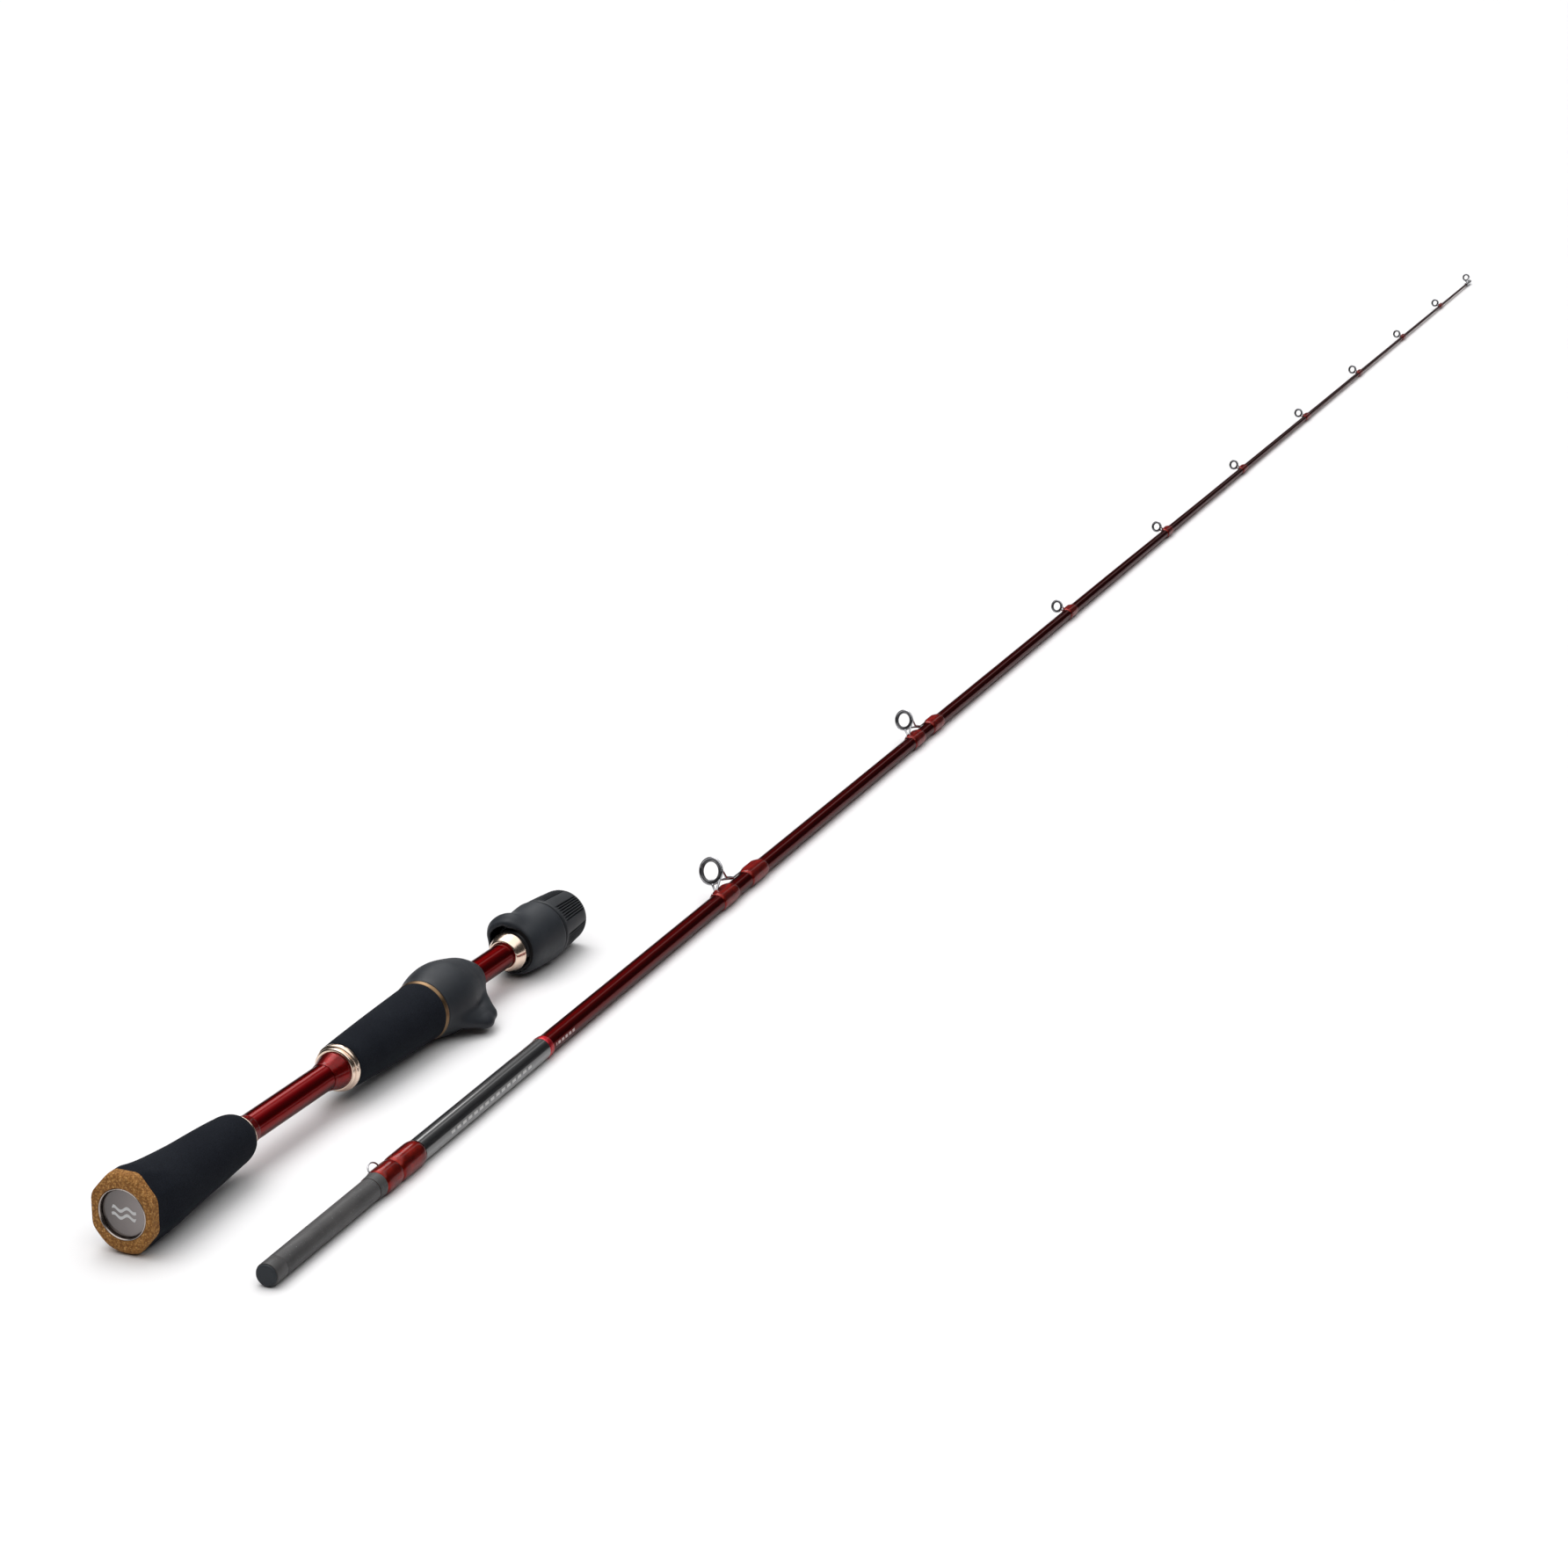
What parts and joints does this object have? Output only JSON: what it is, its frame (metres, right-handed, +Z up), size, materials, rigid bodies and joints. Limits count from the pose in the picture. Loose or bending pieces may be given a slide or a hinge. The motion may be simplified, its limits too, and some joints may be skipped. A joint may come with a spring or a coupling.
{
  "type": "casting rod",
  "caption": "Two-piece casting rod: trigger-grip handle with reel seat, sliding hood and lock nut, and a tip section with line guides.",
  "frame": {"origin": "centre of the butt face, on the handle axis", "axes": "+Y along the handle axis from the butt to the socket, +Z up with both sections lying on the ground, +X towards the trigger side"},
  "size_m": [0.0771, 1.8614, 0.0303],
  "materials": {
    "badge": "smoked clear badge over brushed metal",
    "bezel_metal": "polished",
    "cork": "granular composite cork, sanded",
    "foam": "fine closed-cell foam, matte",
    "trim_metal": "champagne gold, polished",
    "thread": "thread under glossy epoxy",
    "blank": "metallic red lacquer under clear gloss",
    "seat_plastic": "soft-touch coating",
    "arbor_foam": "rigid foam",
    "barrel_plastic": "moulded",
    "liner": "matte",
    "nut_plastic": "soft-touch coating over knurling",
    "insert_metal": "turned",
    "ferrule_matte": "sanded carbon, unpainted",
    "guide_metal": "polished",
    "guide_ceramic": "polished",
    "black_lacquer": "gloss over a fine woven pattern",
    "trim_lacquer": "gloss"
  },
  "bodies": {
    "handle": {"butt_badge": "badge", "badge_bezel": "bezel_metal", "butt_cap": "cork", "butt_grip": "foam", "butt_grip_check": "trim_metal", "butt_grip_wrap": "thread", "handle_blank": "blank", "fore_wrap": "thread", "fore_grip_check": "trim_metal", "fore_grip": "foam", "seat_trim_ring": "trim_metal", "trigger_seat": "seat_plastic", "seat_arbor": "arbor_foam", "barrel_check": "trim_metal", "threaded_barrel": "barrel_plastic"},
    "hood": {"sliding_hood": "seat_plastic", "hood_liner": "liner", "hood_coupling_ring": "liner"},
    "lock_nut": {"lock_nut": "nut_plastic", "nut_insert": "insert_metal"},
    "tip_section": {"male_ferrule": "ferrule_matte", "ferrule_plug": "liner", "ferrule_collar": "ferrule_matte", "ferrule_wrap": "thread", "keeper_wrap": "thread", "hook_keeper": "guide_metal", "lacquer_sleeve": "black_lacquer", "sleeve_trim_band": "trim_lacquer", "tip_blank": "blank", "guide_1_frame": "guide_metal", "guide_2_frame": "guide_metal", "guide_3_frame": "guide_metal", "guide_4_frame": "guide_metal", "guide_5_frame": "guide_metal", "guide_6_frame": "guide_metal", "guide_7_frame": "guide_metal", "guide_8_frame": "guide_metal", "guide_9_frame": "guide_metal", "tip_top_frame": "guide_metal", "guide_1_ring": "guide_ceramic", "guide_2_ring": "guide_ceramic", "guide_3_ring": "guide_ceramic", "guide_4_ring": "guide_ceramic", "guide_5_ring": "guide_ceramic", "guide_6_ring": "guide_ceramic", "guide_7_ring": "guide_ceramic", "guide_8_ring": "guide_ceramic", "guide_9_ring": "guide_ceramic", "tip_top_ring": "guide_ceramic", "guide_1_wraps": "thread", "guide_2_wraps": "thread", "guide_3_wraps": "thread", "guide_4_wraps": "thread", "guide_5_wraps": "thread", "guide_6_wraps": "thread", "guide_7_wraps": "thread", "guide_8_wraps": "thread", "guide_9_wraps": "thread"}
  },
  "joints": [
    {"name": "hood_slide", "type": "slide", "parent": "handle", "child": "hood", "axis": [0, -1, 0], "range_m": [0, 0.012]},
    {"name": "lock_nut_turn", "type": "hinge", "parent": "hood", "child": "lock_nut", "pos_m": [0, 0.3165, 0], "axis": [0, -1, 0], "range_deg": [0, 2880]},
    {"name": "tip_carry", "type": "slide", "parent": "handle", "child": "tip_section", "axis": [-0.0949, 0.9954, 0.0102], "range_m": [0, 0.6038]}
  ],
  "couplings": [
    {"joint": "hood_slide", "follows": "lock_nut_turn", "m_per_rad": 0.00023873}
  ]
}
